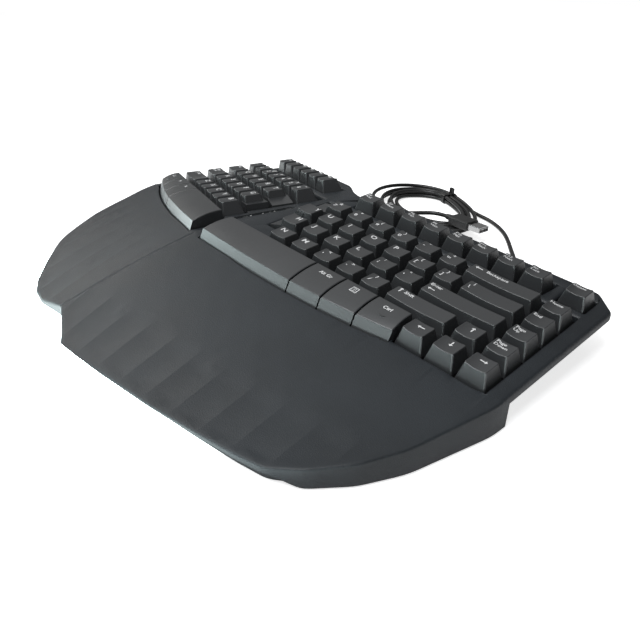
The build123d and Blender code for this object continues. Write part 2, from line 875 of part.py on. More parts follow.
def skirt_trim(sign):
    """What the front skirt of one lobe leaves open: it ends above the tub's foot."""
    foot = Plane(
        origin=(split_x, mid_y, skirt_foot), x_dir=(1, 0, sign * skirt_rise_share),
        z_dir=(-sign * skirt_rise_share, 0, 1),
    )
    end = mid_y - skirt_end_share * front_reach
    with BuildPart() as trim:
        with BuildSketch(Plane.XY):
            add(plan.sketch)
            add(plan_inset(tub_inset), mode=Mode.SUBTRACT)
            with Locations((split_x + sign * reach / 2, end - reach / 2)):
                Rectangle(reach, reach, mode=Mode.INTERSECT)
        extrude(amount=reach)
        with BuildSketch(foot):
            Rectangle(2 * reach, 2 * reach)
        extrude(amount=2 * reach, mode=Mode.SUBTRACT)
    return trim.part


with BuildPart() as top_case:
    add(outer_block)
    add(case_block(top_wall, 0, deck_drop + top_wall, palm_wall), mode=Mode.SUBTRACT)
    add(well_tubes.part)
    add(bosses.part)
    add(band_ledge(1))
    add(band_ledge(-1))
    add(skirt_trim(1), mode=Mode.SUBTRACT)
    add(skirt_trim(-1), mode=Mode.SUBTRACT)
    for side in halves:
        add(below_band(side, band_drop), mode=Mode.SUBTRACT)
        add(well_solid(side, well_margin, frame_top + travel), mode=Mode.SUBTRACT)
    for x, y, seat in screw_spots:
        with BuildSketch(Plane.XY.offset(seat)):
            with Locations((x, y)):
                Circle(screw_radius)
        extrude(amount=screw_length - screw_land, mode=Mode.SUBTRACT)
    with BuildSketch(window_plane.offset(-window_sink - window_thickness)):
        SlotOverall(window_length, window_width)
    extrude(amount=window_thickness + reach, mode=Mode.SUBTRACT)
    with BuildSketch(window_plane.offset(-deck_drop)):
        SlotOverall(window_length - window_width / 2, window_width / 2)
    extrude(amount=deck_drop, mode=Mode.SUBTRACT)
top_case.part.label = "top_case"
export_step(top_case.part, "parts/top_case.step")

with BuildPart() as tub_block:
    add(case_block(tub_inset, case_foot, band_drop, palm_wall + shell_clearance))
    for side in halves:
        add(undercut_tool(side, 0, wing_end), mode=Mode.SUBTRACT)
with BuildPart() as tub_space:
    add(case_block(tub_inset + tub_wall, case_foot + floor_thickness, 0, -rim_height))
    for side in halves:
        add(undercut_tool(side, tub_wall, wing_end - tub_wall), mode=Mode.SUBTRACT)
with BuildPart() as tub_posts:
    for x, y, seat in screw_spots:
        with BuildSketch(Plane.XY.offset(case_foot)):
            with Locations((x, y)):
                Circle(pad_radius)
        extrude(amount=seat - case_foot)
    for spot in board_spots:
        with BuildSketch(Plane.XY.offset(case_foot)):
            with Locations(spot):
                Circle(post_radius)
        extrude(amount=board_height - case_foot)
with BuildPart() as tub_ribs:
    for side, (plane, sign) in halves.items():
        places = [rib_in + turn * rib_pitch for turn in range(3 if sign > 0 else 2)]
        back = function_front + key_pitch - module_back
        front = -key_pitch - module_front
        with BuildSketch(plane.offset(-module_bottom)):
            for place in places:
                with Locations((sign * place, (front + back) / 2)):
                    Rectangle(rib_thickness, back - front - 2 * rib_margin)
        extrude(amount=-reach)
    add(tub_block.part, mode=Mode.INTERSECT)
with BuildPart() as tub_front:
    with BuildSketch(Plane.XY.offset(case_foot + lip_height)):
        with Locations((0, mid_y + wing_end - wing_round - reach / 2)):
            Rectangle(2 * reach, reach)
    extrude(amount=reach)

with BuildPart() as bottom_case:
    add(tub_block.part)
    add(tub_space.part, mode=Mode.SUBTRACT)
    add(tub_front.part, mode=Mode.SUBTRACT)
    add(tub_ribs.part)
    add(tub_posts.part)
    for x, y, seat in screw_spots:
        with BuildSketch(Plane.XY):
            with Locations((x, y)):
                Circle(screw_head_radius + screw_pass)
        extrude(amount=seat - screw_land, mode=Mode.SUBTRACT)
        with BuildSketch(Plane.XY):
            with Locations((x, y)):
                Circle(screw_radius + screw_pass)
        extrude(amount=seat, mode=Mode.SUBTRACT)
    with BuildSketch(Plane.XY.offset(case_foot)):
        with Locations(*foot_spots):
            Circle(foot_radius + foot_clearance)
    extrude(amount=foot_sink, mode=Mode.SUBTRACT)
    with BuildSketch(relief_plane.offset(-relief_length)):
        Circle(relief_root_radius + relief_fit)
    extrude(amount=2 * relief_length, mode=Mode.SUBTRACT)
    with BuildSketch(relief_plane.offset(-relief_seat)):
        Circle(relief_collar_radius + relief_fit)
    extrude(amount=-relief_length, mode=Mode.SUBTRACT)
    for side in halves:
        add(well_solid(side, well_margin, frame_top), mode=Mode.SUBTRACT)
bottom_case.part.label = "bottom_case"
export_step(bottom_case.part, "parts/bottom_case.step")

# Screws and rubber feet
with BuildPart() as case_screws:
    for x, y, seat in screw_spots:
        with BuildSketch(Plane.XY.offset(seat - screw_land - screw_head_height)):
            with Locations((x, y)):
                Circle(screw_head_radius)
        extrude(amount=screw_head_height)
        with BuildSketch(Plane.XY.offset(seat - screw_land)):
            with Locations((x, y)):
                Circle(screw_radius)
        extrude(amount=screw_length)
        with BuildSketch(Plane.XY.offset(seat - screw_land - screw_head_height)):
            with Locations((x, y)):
                Rectangle(2 * screw_radius, screw_socket)
                Rectangle(screw_socket, 2 * screw_radius)
        extrude(amount=screw_head_height / 2, mode=Mode.SUBTRACT)
case_screws.part.label = "case_screws"
export_step(case_screws.part, "parts/case_screws.step")

with BuildPart() as rubber_feet:
    with BuildSketch():
        with Locations(*foot_spots):
            Circle(foot_radius)
    extrude(amount=case_foot + foot_sink)
    rims = rubber_feet.edges().group_by(Axis.Z)[0]
    chamfer(rims, length=foot_sink / 2)
rubber_feet.part.label = "rubber_feet"
export_step(rubber_feet.part, "parts/rubber_feet.step")

# Controller board, its chip, socket and lamps
with BuildPart() as controller_board:
    with BuildSketch(Plane.XY.offset(board_height)):
        with Locations(board_centre):
            Rectangle(board_width, board_length)
    extrude(amount=board_thickness)
    with BuildSketch(Plane.XY.offset(board_height + board_thickness)):
        with Locations((board_centre[0] + board_width / 4, board_centre[1] - board_length / 4)):
            Rectangle(chip_size / 2, chip_size)
    extrude(amount=chip_thickness)
    with BuildSketch(Plane.XY.offset(board_height + board_thickness)):
        with Locations(*lamp_spots):
            Rectangle(lamp_size, lamp_size)
    extrude(amount=lamp_height)
controller_board.part.label = "controller_board"
export_step(controller_board.part, "parts/controller_board.step")

# Window with its light pipes
with BuildPart() as indicator_window:
    with BuildSketch(window_plane.offset(-window_sink - window_thickness)):
        SlotOverall(window_length, window_width)
    extrude(amount=window_thickness)
    with BuildSketch(window_plane.offset(-window_sink - window_thickness)):
        for turn in (-1, 0, 1):
            with Locations((turn * light_pitch, 0)):
                Circle(light_radius)
    extrude(amount=-board_height)
    with BuildSketch(Plane.XY.offset(board_height + board_thickness + lamp_height + seat_gap)):
        Rectangle(reach, reach)
    extrude(amount=-reach, mode=Mode.SUBTRACT)
indicator_window.part.label = "indicator_window"
export_step(indicator_window.part, "parts/indicator_window.step")

# Strain relief: a collar inside the wall and a tapered sleeve outside it
with BuildPart() as strain_relief:
    with BuildSketch(relief_side):
        with BuildLine():
            Polyline(
                (cord_radius + relief_fit, relief_length),
                (relief_tip_radius, relief_length),
                (relief_root_radius, relief_shoulder),
                (relief_root_radius, -relief_seat),
                (relief_collar_radius, -relief_seat),
                (relief_collar_radius, -relief_seat - relief_collar),
                (cord_radius + relief_fit, -relief_seat - relief_collar),
                close=True,
            )
        make_face()
    revolve(axis=Axis(relief_plane.origin, relief_plane.z_dir))
strain_relief.part.label = "strain_relief"
export_step(strain_relief.part, "parts/strain_relief.step")


# Frame of the hank: along its length and across it
def hank_direction(along_share, across_share, rise_share=0):
    return Vector(along_share, across_share, rise_share).rotate(Axis.Z, hank_turn)


def hank_point(place, aside, height):
    centre = Vector(split_x + hank_out, mid_y + hank_back, height)
    return centre + hank_direction(place, aside)


# Cable from the relief to the hank: the route's points, chosen by hand, from the split line
cord_rest = cord_radius + cord_lift
lead_start = relief_plane.origin + relief_plane.z_dir * relief_length
lead_route = [
    (lead_start.X - split_x, lead_start.Y - mid_y, relief_height),
    (91.2, 163.1, 15.6),
    (87.0, 176.8, 8.6),
    (81.0, 189.9, 3.6),
    (70.0, 202.5, 2.55),
    (56.0, 214.5, 2.55),
    (42.0, 227.0, 2.55),
    (27.0, 239.0, 2.55),
    (11.0, 248.2, 2.55),
    (-6.0, 254.4, 2.55),
    (-24.5, 260.0, 2.55),
]
lead_points = [Vector(split_x + x, mid_y + y, z) for x, y, z in lead_route]
lead_points[-1] = hank_point(hank_start, hank_far, cord_rest)


def corner_radii(points):
    """The largest arcs that the runs beside each corner allow."""
    radii = []
    for before, corner, after in zip(points, points[1:], points[2:]):
        turn = radians((corner - before).get_angle(after - corner))
        shorter = min((corner - before).length, (after - corner).length)
        radii.append(cord_run_share * shorter / tan(turn / 2))
    return radii


lead_radii = corner_radii(lead_points)
with BuildPart() as cable_lead:
    with BuildLine() as lead_path:
        FilletPolyline(*lead_points, radius=lead_radii)
    with BuildSketch(Plane(lead_points[0], z_dir=lead_points[1] - lead_points[0])):
        Circle(cord_radius)
    sweep(path=lead_path.wires()[0])
cable_lead.part.label = "cable_lead"
export_step(cable_lead.part, "parts/cable_lead.step")
lead_length = lead_path.wires()[0].length
print("lead radii", [round(radius, 1) for radius in lead_radii])
print("lead volume against section times length",
      round(cable_lead.part.volume), round(lead_length * pi * cord_radius**2))


# Hank: turns of biarcs that spiral in on the table, climb, and spiral out on top
def hank_turn_place(quarter):
    """How many steps in from the outer turn the cord runs, and how high, after some quarters."""
    last = hank_quarters
    climb = hank_climb_start
    if quarter <= climb:
        return quarter / 4, cord_rest
    if quarter <= climb + 2:
        return climb / 4, cord_rest + layer_step * (quarter - climb) / 2
    inward = climb / 4 - (quarter - climb - 2) / 4
    rise = layer_step * max(0, quarter - last + 2) / 2
    return inward, cord_rest + layer_step + rise


def hank_knot(quarter):
    """A point of the hank and the cord's direction there."""
    inward, height = hank_turn_place(quarter)
    far, left, near, right = [
        ((hank_waist, hank_far - inward * hank_far_step), (-1, 0)),
        ((inward * hank_end_step - hank_half_length, hank_left), (0, -1)),
        ((0, inward * hank_near_step - hank_near), (1, 0)),
        ((hank_half_length - inward * hank_end_step, hank_right), (0, 1)),
    ]
    place, way = (far, left, near, right)[quarter % 4]
    return hank_point(*place, height), hank_direction(*way)


knots = [(hank_point(hank_start, hank_far, cord_rest), hank_direction(-1, 0))]
knots += [hank_knot(quarter) for quarter in range(hank_quarters + 1)]
plug_axis = hank_direction(1, tail_slope)
knots.append((hank_point(tail_end, tail_side, plug_level), plug_axis.normalized()))


def biarc(start, end):
    """Two tangent arcs from one knot to the next."""
    (p, s), (q, t) = start, end
    chord, both = q - p, s + t
    a, b, c = 2 * (s.dot(t) - 1), -2 * chord.dot(both), chord.dot(chord)
    if abs(a) < straight_limit:
        if chord.cross(s).length < straight_limit:
            Line(p, q)
            return
        reach_out = -c / b
    else:
        reach_out = (-b - sqrt(b**2 - 4 * a * c)) / (2 * a)
    joint = (p + s * reach_out + q - t * reach_out) / 2
    first = TangentArc(p, joint, tangent=s)
    TangentArc(joint, q, tangent=first % 1)


with BuildPart() as cable_coil:
    with BuildLine() as coil_path:
        for start, end in zip(knots, knots[1:]):
            biarc(start, end)
    coil_wire = coil_path.wires()[0]
    with BuildSketch(Plane(knots[0][0], z_dir=knots[0][1])):
        Circle(cord_radius)
    sweep(path=coil_wire)
cable_coil.part.label = "cable_coil"
export_step(cable_coil.part, "parts/cable_coil.step")


def least_gap(wire, skip):
    """The least space between stretches of a cord that lie more than skip apart along it."""
    count = ceil(wire.length / cord_radius)
    spots = [wire @ (place / count) for place in range(count + 1)]
    spots = [(spot.X, spot.Y, spot.Z) for spot in spots]
    apart = ceil(skip / cord_radius)
    best = wire.length
    for index, (x, y, z) in enumerate(spots):
        for u, v, w in spots[index + apart:]:
            if abs(x - u) < best and abs(y - v) < best:
                best = min(best, sqrt((x - u) ** 2 + (y - v) ** 2 + (z - w) ** 2))
    return best - 2 * cord_radius


print("coil", len(cable_coil.solids()), cable_coil.part.is_valid, "length", round(coil_wire.length),
      "volume", round(cable_coil.part.volume), round(coil_wire.length * pi * cord_radius**2))
print("coil least gap", round(least_gap(coil_wire, 8 * cord_radius), 2))
print("cord length", round(lead_length + coil_wire.length))

# Tie round the far side of the hank
turns_there = [hank_turn_place(quarter) for quarter in range(0, hank_quarters + 1, 4)]
tie_in = max(inward for inward, _ in turns_there) * hank_far_step
tie_top = max(height for _, height in turns_there)
tie_hold = cord_radius + tie_clearance
tie_origin = hank_point(hank_waist - tie_width / 2, hank_far - tie_in / 2, (tie_top + cord_rest) / 2)
tie_plane = Plane(origin=tie_origin, x_dir=hank_direction(0, 1), z_dir=hank_direction(1, 0))
with BuildPart() as cable_tie:
    for extra, mode in ((tie_thickness, Mode.ADD), (0, Mode.SUBTRACT)):
        with BuildSketch(tie_plane):
            RectangleRounded(
                tie_in + 2 * (tie_hold + extra), tie_top - cord_rest + 2 * (tie_hold + extra),
                tie_hold + extra - tie_thickness / 2,
            )
        extrude(amount=tie_width, mode=mode)
    with BuildSketch(tie_plane):
        with Locations((tie_in / 4, (tie_top - cord_rest) / 2 + tie_hold + tie_tail / 2)):
            Rectangle(tie_width / 2, tie_tail)
    extrude(amount=tie_width)
cable_tie.part.label = "cable_tie"
export_step(cable_tie.part, "parts/cable_tie.step")

# USB plug: a moulded grip with a neck, and the metal shell with its tongue
plug_origin, plug_way = knots[-1]
plug_end = Plane(origin=plug_origin, x_dir=plug_way.cross(Vector(0, 0, 1)), z_dir=plug_way)
with BuildPart() as usb_plug:
    with BuildSketch(plug_end):
        Circle(plug_neck_tip_radius)
    with BuildSketch(plug_end.offset(plug_neck_length)):
        Circle(plug_neck_radius)
    loft()
    with BuildSketch(plug_end.offset(plug_neck_length)):
        RectangleRounded(plug_width, plug_height, plug_round)
    extrude(amount=plug_length)
    grip = usb_plug.faces().filter_by(lambda face: face.normal_at().dot(plug_way) > facing_end_share)
    fillet(grip.edges(), radius=plug_round / 4)
usb_plug.part.label = "usb_plug"
export_step(usb_plug.part, "parts/usb_plug.step")

shell_end = plug_end.offset(plug_neck_length + plug_length)
with BuildPart() as usb_shell:
    with BuildSketch(shell_end):
        RectangleRounded(shell_width, shell_height, shell_wall)
        Rectangle(shell_width - 2 * shell_wall, shell_height - 2 * shell_wall, mode=Mode.SUBTRACT)
    extrude(amount=shell_length)
    with BuildSketch(shell_end):
        with Locations((0, (shell_height - tongue_height) / 2 - shell_wall)):
            Rectangle(shell_width - 2 * shell_wall, tongue_height)
    extrude(amount=shell_length - plug_round)
usb_shell.part.label = "usb_shell"
export_step(usb_shell.part, "parts/usb_shell.step")
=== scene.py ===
import math

import bmesh
import bpy
from mathutils import Matrix, Vector
from mathutils.bvhtree import BVHTree


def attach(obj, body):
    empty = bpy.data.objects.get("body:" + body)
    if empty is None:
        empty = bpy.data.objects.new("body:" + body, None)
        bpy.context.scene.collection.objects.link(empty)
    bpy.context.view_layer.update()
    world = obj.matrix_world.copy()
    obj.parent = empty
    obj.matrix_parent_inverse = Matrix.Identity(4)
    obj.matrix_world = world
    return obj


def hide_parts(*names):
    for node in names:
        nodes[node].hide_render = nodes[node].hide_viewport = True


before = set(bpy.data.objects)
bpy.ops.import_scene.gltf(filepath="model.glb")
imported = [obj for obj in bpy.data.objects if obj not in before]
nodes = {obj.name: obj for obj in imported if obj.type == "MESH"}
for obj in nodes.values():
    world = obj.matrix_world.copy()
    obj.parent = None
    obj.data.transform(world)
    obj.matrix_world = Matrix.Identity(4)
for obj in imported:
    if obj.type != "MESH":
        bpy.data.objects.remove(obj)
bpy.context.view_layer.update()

# Measures of the keyboard, in metres, and its angles, in degrees
mm = 0.001
split = Vector((-24.0, -8.5, 0.0)) * mm
key_pitch = 19.05 * mm
function_front = 85.6 * mm
key_in = 29.35 * mm
key_front = 2.09 * mm
key_rise = 49.05 * mm
deck_drop = 9.0 * mm
right_reach = 221.0 * mm
front_reach = 134.0 * mm
tent_angle = 6.81
split_angle = 12.22
slope_angle = 4.0


def key_direction(x, y, z):
    tented = Matrix.Rotation(math.radians(tent_angle), 3, "Y") @ Vector((x, y, z))
    turned = Matrix.Rotation(math.radians(split_angle), 3, "Z") @ tented
    return Matrix.Rotation(math.radians(slope_angle), 3, "X") @ turned


across = key_direction(1, 0, 0)
normal = key_direction(0, 0, 1)


def key_plane(side):
    """A matrix from a half's own key plane to the keyboard's frame."""
    mirror = Vector((side, 1, 1))
    axis_x = Vector((across.x, side * across.y, side * across.z))
    axis_z = normal * mirror
    axis_y = axis_z.cross(axis_x)
    place = split + Vector((side * key_in, -key_front, key_rise))
    turned = Matrix((axis_x, axis_y, axis_z)).transposed().to_4x4()
    return Matrix.Translation(place) @ turned


halves = {"left": key_plane(-1), "right": key_plane(1)}

# Camera at the photograph's angle: its place from the split, its directions and its lens
sensor_width = 36.0
photo_width = 640.0
focal_pixels = 674.586
camera_spot = Vector((387.7444, -202.5498, 196.3807)) * mm
camera_right = Vector((0.5562266, 0.8300310, 0.0407493))
camera_down = Vector((0.4027548, -0.2263570, -0.8868772))
camera_ahead = Vector((-0.7269117, 0.5097166, -0.4602047))


def place_camera():
    lens = bpy.data.cameras.new("camera")
    lens.sensor_width = sensor_width
    lens.lens = focal_pixels * sensor_width / photo_width
    lens.clip_start, lens.clip_end = 0.01, 20.0
    camera = bpy.data.objects.new("camera", lens)
    bpy.context.scene.collection.objects.link(camera)
    turned = Matrix((camera_right, -camera_down, -camera_ahead)).transposed().to_4x4()
    camera.matrix_world = Matrix.Translation(camera_spot + split) @ turned
    bpy.context.scene.camera = camera


place_camera()


# Small helpers for meshes
def make_piece(name, mesh):
    piece = bpy.data.objects.new(name, mesh)
    bpy.context.scene.collection.objects.link(piece)
    return piece


def copied_mesh(name):
    """A CAD node's mesh as one joined surface, in a bmesh."""
    surface = bmesh.new()
    surface.from_mesh(nodes[name].data)
    bmesh.ops.remove_doubles(surface, verts=surface.verts, dist=1e-6)
    return surface


def finished_mesh(surface, name, ridges, smooth_angle=30.0):
    """A mesh that is smooth but for its sharp edges and the given ridges."""
    for face in surface.faces:
        face.smooth = True
    for edge in surface.edges:
        edge.smooth = edge.calc_face_angle(math.pi) < math.radians(smooth_angle)
    for edge in ridges:
        edge.smooth = False
    mesh = bpy.data.meshes.new(name)
    surface.to_mesh(mesh)
    surface.free()
    return mesh


def node_surface(name):
    """A CAD node's surface, to find places on it."""
    node = nodes[name]
    corners = [corner.co for corner in node.data.vertices]
    return BVHTree.FromPolygons(corners, [tuple(face.vertices) for face in node.data.polygons])


def evaluated_mesh(piece):
    """A plain mesh of what a piece's text or modifiers make."""
    bpy.context.view_layer.update()
    finished = piece.evaluated_get(bpy.context.evaluated_depsgraph_get())
    return bpy.data.meshes.new_from_object(finished)


# Cable: the route from the strain relief to the hank, then the hank's turns, all in millimetres
cord_radius = 1.7 * mm
cord_rest = 2.55
layer_rise = 4.0
hank_spot = (-50.0, 229.0)
hank_angle = -14.5
hank_quarters = 22
steps_in_quarter = 4
first_layer_end = 9
second_layer_end = 20
climb_quarters = 2
hank_start = (20.0, 33.0, cord_rest)
hank_far, far_step = 33.0, 4.8
hank_near, near_step = -52.0, 9.0
hank_end, end_step = 62.0, 7.0
hank_centres = [(-25.0, -5.0), (0.0, -5.0), (0.0, -8.0), (-25.0, -8.0)]
lead_route = [
    (93.6, 141.98, 17.0), (91.2, 163.1, 15.6), (87.0, 176.8, 8.6), (81.0, 189.9, 3.6),
    (70.0, 202.5, 2.55), (56.0, 214.5, 2.55), (42.0, 227.0, 2.55), (27.0, 239.0, 2.55),
    (11.0, 248.2, 2.55), (-6.0, 254.4, 2.55),
]
hank_tail = [
    (12.0, -56.5, 10.7), (25.0, -48.0, 11.2), (30.0, -31.0, 12.2), (36.0, -17.5, 12.9),
    (46.0, -14.0, 13.0),
]


def hank_point(place, aside, height):
    turned = Matrix.Rotation(math.radians(hank_angle), 3, "Z") @ Vector((place, aside, 0))
    return split + (turned + Vector((*hank_spot, height))) * mm


def hank_place(quarter):
    """Steps in from the outer turn and height of the cord, after some quarter turns."""
    if quarter <= first_layer_end:
        return quarter / 4, cord_rest
    inmost = first_layer_end / 4
    climbed = quarter - first_layer_end
    if climbed <= climb_quarters:
        return inmost, cord_rest + layer_rise * climbed / climb_quarters
    rise = layer_rise * max(0.0, quarter - second_layer_end) / climb_quarters
    return inmost - (climbed - climb_quarters) / 4, cord_rest + layer_rise + rise


def hank_corner(quarter):
    """A control point of the hank's turns, which swing round four different bows."""
    inward, height = hank_place(quarter)
    far = hank_far - far_step * inward
    near = hank_near + near_step * inward
    end = hank_end - end_step * inward
    corners = [(-end, far), (-end, near), (end, near), (end, far)]
    turn = int(quarter) % 4
    centre, corner = hank_centres[turn], corners[turn]
    angle = (quarter % 1) * math.pi / 2
    swing = (math.sin(angle), math.cos(angle))
    along, over = swing if turn % 2 == 0 else reversed(swing)
    wide = 1 / math.cos(math.pi / 16)
    place = centre[0] + (corner[0] - centre[0]) * along * wide
    aside = centre[1] + (corner[1] - centre[1]) * over * wide
    return hank_point(place, aside, height)


def make_cable():
    points = [split + Vector(point) * mm for point in lead_route]
    points.append(hank_point(*hank_start))
    steps = hank_quarters * steps_in_quarter
    points += [hank_corner((step + 0.5) / steps_in_quarter) for step in range(steps)]
    points += [hank_point(*point) for point in hank_tail]
    curve = bpy.data.curves.new("cable", "CURVE")
    curve.dimensions = "3D"
    spline = curve.splines.new("NURBS")
    spline.points.add(len(points) - 1)
    for spot, point in zip(spline.points, points):
        spot.co = (*point, 1.0)
    spline.order_u = 3
    spline.use_endpoint_u = True
    spline.resolution_u = 8
    curve.bevel_depth = cord_radius
    curve.bevel_resolution = 5
    curve.use_fill_caps = True
    return make_piece("cable", curve), points[0]


cable, cable_exit = make_cable()


# Shader maths: a socket that takes part in Python sums
class Value:
    def __init__(self, finish, socket):
        self.finish = finish
        self.socket = socket

    def math(self, operation, first, second):
        return self.finish.node("ShaderNodeMath", {"operation": operation}, {0: first, 1: second})

    def __add__(self, other):
        return self.math("ADD", self, other)

    def __sub__(self, other):
        return self.math("SUBTRACT", self, other)

    def __rsub__(self, other):
        return self.math("SUBTRACT", other, self)

    def __mul__(self, other):
        return self.math("MULTIPLY", self, other)

    __radd__ = __add__
    __rmul__ = __mul__


class Finish:
    """A node material of one name, with the methods that the finishes use."""

    def __init__(self, name):
        self.material = bpy.data.materials.new(name)
        self.material.use_nodes = True
        self.tree = self.material.node_tree
        self.shader = self.tree.nodes["Principled BSDF"]
        self.places = self.node("ShaderNodeTexCoord", {}, {}, "Object")

    def node(self, kind, settings, inputs, output=0):
        made = self.tree.nodes.new(kind)
        for name, setting in settings.items():
            setattr(made, name, setting)
        for name, value in inputs.items():
            if isinstance(value, Value):
                self.tree.links.new(value.socket, made.inputs[name])
            else:
                made.inputs[name].default_value = value
        return Value(self, made.outputs[output])

    def noise(self, scale, detail, roughness=0.5):
        inputs = {"Vector": self.places, "Scale": scale, "Detail": detail, "Roughness": roughness}
        return self.node("ShaderNodeTexNoise", {}, inputs, "Fac")

    def between(self, low, high, value):
        """value taken from the range low to high to the range 0 to 1."""
        return self.node("ShaderNodeMapRange", {}, {"Value": value, 1: low, 2: high})

    def blend(self, share, first, second):
        inputs = {"Factor": share, 6: first, 7: second}
        return self.node("ShaderNodeMix", {"data_type": "RGBA"}, inputs, 2)

    def bump(self, height, distance):
        inputs = {"Height": height, "Distance": distance, "Strength": 1.0}
        return self.node("ShaderNodeBump", {}, inputs)

    def give(self, **sockets):
        for name, value in sockets.items():
            socket = self.shader.inputs[name.replace("_", " ")]
            if isinstance(value, Value):
                self.tree.links.new(value.socket, socket)
            else:
                socket.default_value = value
        return self.material


def grey(level, blue=0.0):
    return (level, level * (1 + blue / 2), level * (1 + blue), 1.0)


def moulded(name, low, high, rough, grain_size, grain_depth, blue=0.0, specular=0.5):
    """A moulded plastic: a fine sparked grain, and a slow change of tone and gloss."""
    finish = Finish(name)
    grain = finish.noise(1 / grain_size, 2.0, 0.6)
    slow = finish.between(0.3, 0.7, finish.noise(18.0, 3.0))
    gloss = rough - 0.05 + 0.06 * slow + 0.08 * (grain - 0.5)
    finish.give(Base_Color=finish.blend(slow, grey(low, blue), grey(high, blue)), Roughness=gloss)
    return finish.give(Normal=finish.bump(grain, grain_depth), Specular_IOR_Level=specular)


def laminate(name):
    """A circuit board's green coat, paler over its traces."""
    finish = Finish(name)
    weave = finish.noise(900.0, 2.0)
    traces = finish.between(0.55, 0.6, finish.noise(160.0, 1.0))
    colour = finish.blend(traces, (0.01, 0.09, 0.035, 1), (0.03, 0.17, 0.06, 1))
    surface = finish.bump(traces, 0.04 * mm)
    return finish.give(Base_Color=colour, Roughness=0.3 + 0.1 * weave, Normal=surface)


def metal(name, level, rough, brushed):
    finish = Finish(name)
    streak = finish.noise(brushed, 3.0, 0.6)
    colour = finish.blend(streak, grey(level * 0.9), grey(level))
    finish.give(Metallic=1.0, Base_Color=colour, Roughness=rough + 0.12 * (streak - 0.5))
    return finish.give(Normal=finish.bump(streak, 0.004 * mm))


# Each plastic's darkest and lightest tone, roughness, grain size and depth, blue tint and shine
plastics = {
    "case_plastic": (0.013, 0.019, 0.52, 0.6 * mm, 0.16 * mm, 0.45, 0.45),
    "key_plastic": (0.028, 0.035, 0.38, 0.35 * mm, 0.02 * mm, 0.12, 0.85),
    "frame_plastic": (0.05, 0.06, 0.5, 0.5 * mm, 0.02 * mm),
    "dome_rubber": (0.35, 0.42, 0.45, 0.6 * mm, 0.01 * mm),
    "contact_film": (0.45, 0.55, 0.25, 2.0 * mm, 0.005 * mm, 0.2),
    "window_plastic": (0.012, 0.016, 0.12, 1.0 * mm, 0.002 * mm, 0.2),
    "foot_rubber": (0.012, 0.018, 0.75, 0.4 * mm, 0.03 * mm),
    "cable_sheath": (0.010, 0.014, 0.38, 0.6 * mm, 0.02 * mm),
    "tie_plastic": (0.012, 0.016, 0.3, 0.6 * mm, 0.01 * mm),
    "plug_plastic": (0.016, 0.022, 0.45, 0.4 * mm, 0.02 * mm),
    "legend_ink": (0.66, 0.72, 0.5, 0.3 * mm, 0.005 * mm),
}
# Each metal's tone, roughness and the scale of its brushing
metals = {
    "plate_steel": (0.55, 0.35, 300.0),
    "screw_steel": (0.5, 0.3, 900.0),
    "plug_steel": (0.62, 0.25, 600.0),
}
finishes = {name: moulded(name, *values) for name, values in plastics.items()}
finishes["board_laminate"] = laminate("board_laminate")
finishes.update({name: metal(name, *values) for name, values in metals.items()})

node_slots = {
    "top_case": "case_plastic", "bottom_case": "case_plastic",
    "key_frame_left": "frame_plastic", "key_frame_right": "frame_plastic",
    "dome_sheet_left": "dome_rubber", "dome_sheet_right": "dome_rubber",
    "contact_sheets": "contact_film", "back_plates": "plate_steel",
    "controller_board": "board_laminate", "indicator_window": "window_plastic",
    "case_screws": "screw_steel", "rubber_feet": "foot_rubber",
    "strain_relief": "cable_sheath", "cable_lead": "cable_sheath", "cable_coil": "cable_sheath",
    "cable_tie": "tie_plastic", "usb_plug": "plug_plastic", "usb_shell": "plug_steel",
}


def give_finish(piece, slot):
    piece.data.materials.clear()
    piece.data.materials.append(finishes[slot])


for name, node in nodes.items():
    give_finish(node, node_slots.get(name, "key_plastic"))
give_finish(cable, "cable_sheath")
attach(cable, "case")
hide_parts("cable_lead", "cable_coil")

# Top case: the CAD shell with flutes in the palm rest, a seam between its lobes and soft edges
palm_crease = -33.0 * mm
palm_crease_sweep = 57.0 * mm
palm_front_sweep = 50.0 * mm
palm_sweep_power = 1.3
palm_rim = 5.0 * mm
palm_rim_rise = 6.0 * mm
palm_straight_share = 0.75
palm_near = 0.4 * mm
top_tilt = 0.5
wall_tilt = 0.3
flute_pitch = 21.8 * mm
flute_lean = 0.27
flute_depth = 0.8 * mm
flute_back = 118.0 * mm
flute_start = 48.3 * mm
flute_ridges = range(-11, 10)
flute_cuts = 8
flute_row_start = 132.0 * mm
flute_row_step = 4.0 * mm
flute_rows = 30
# How far down the slope the flutes are deepest, where they end, and their share of the depth
right_flutes = (0.74, 0.60, 1.0)
left_flutes = (0.62, 0.12, 0.7)
flute_rim_gap = (1.3 * mm, 5 * mm)
seam_half = 0.3 * mm
seam_side = 0.75 * mm
seam_depth = 0.7 * mm
deck_round = 2.2 * mm
palm_round = 1.2 * mm
skirt_foot = 3.0 * mm
skirt_rise_share = 0.0165
skirt_lip = 1.2 * mm
skirt_top = 14.0 * mm
skirt_ease = (-92.0 * mm, -78.39 * mm)
skirt_ease_steps = 8


def eased(value, low, high):
    share = min(1.0, max(0.0, (value - low) / (high - low)))
    return share * share * (3 - 2 * share)


def deck_height(out, back):
    """Height of the deck at a place outwards and back from the split."""
    slope = normal.x * (out - key_in) + normal.y * (back + key_front)
    return key_rise - (deck_drop + slope) / normal.z


def palm_height(out, back):
    """Height of the palm rest, and how far down its slope the place is."""
    share = abs(out) / right_reach
    crease = palm_crease + palm_crease_sweep * share**palm_sweep_power
    front = -front_reach + palm_front_sweep * share**palm_sweep_power
    top = deck_height(out, crease)
    rim = palm_rim + palm_rim_rise * share**2
    down = (crease - back) / (crease - front)
    bend = (1 - palm_straight_share) * down**2 if down > 0 else 0
    return top - (top - rim) * (palm_straight_share * down + bend), down


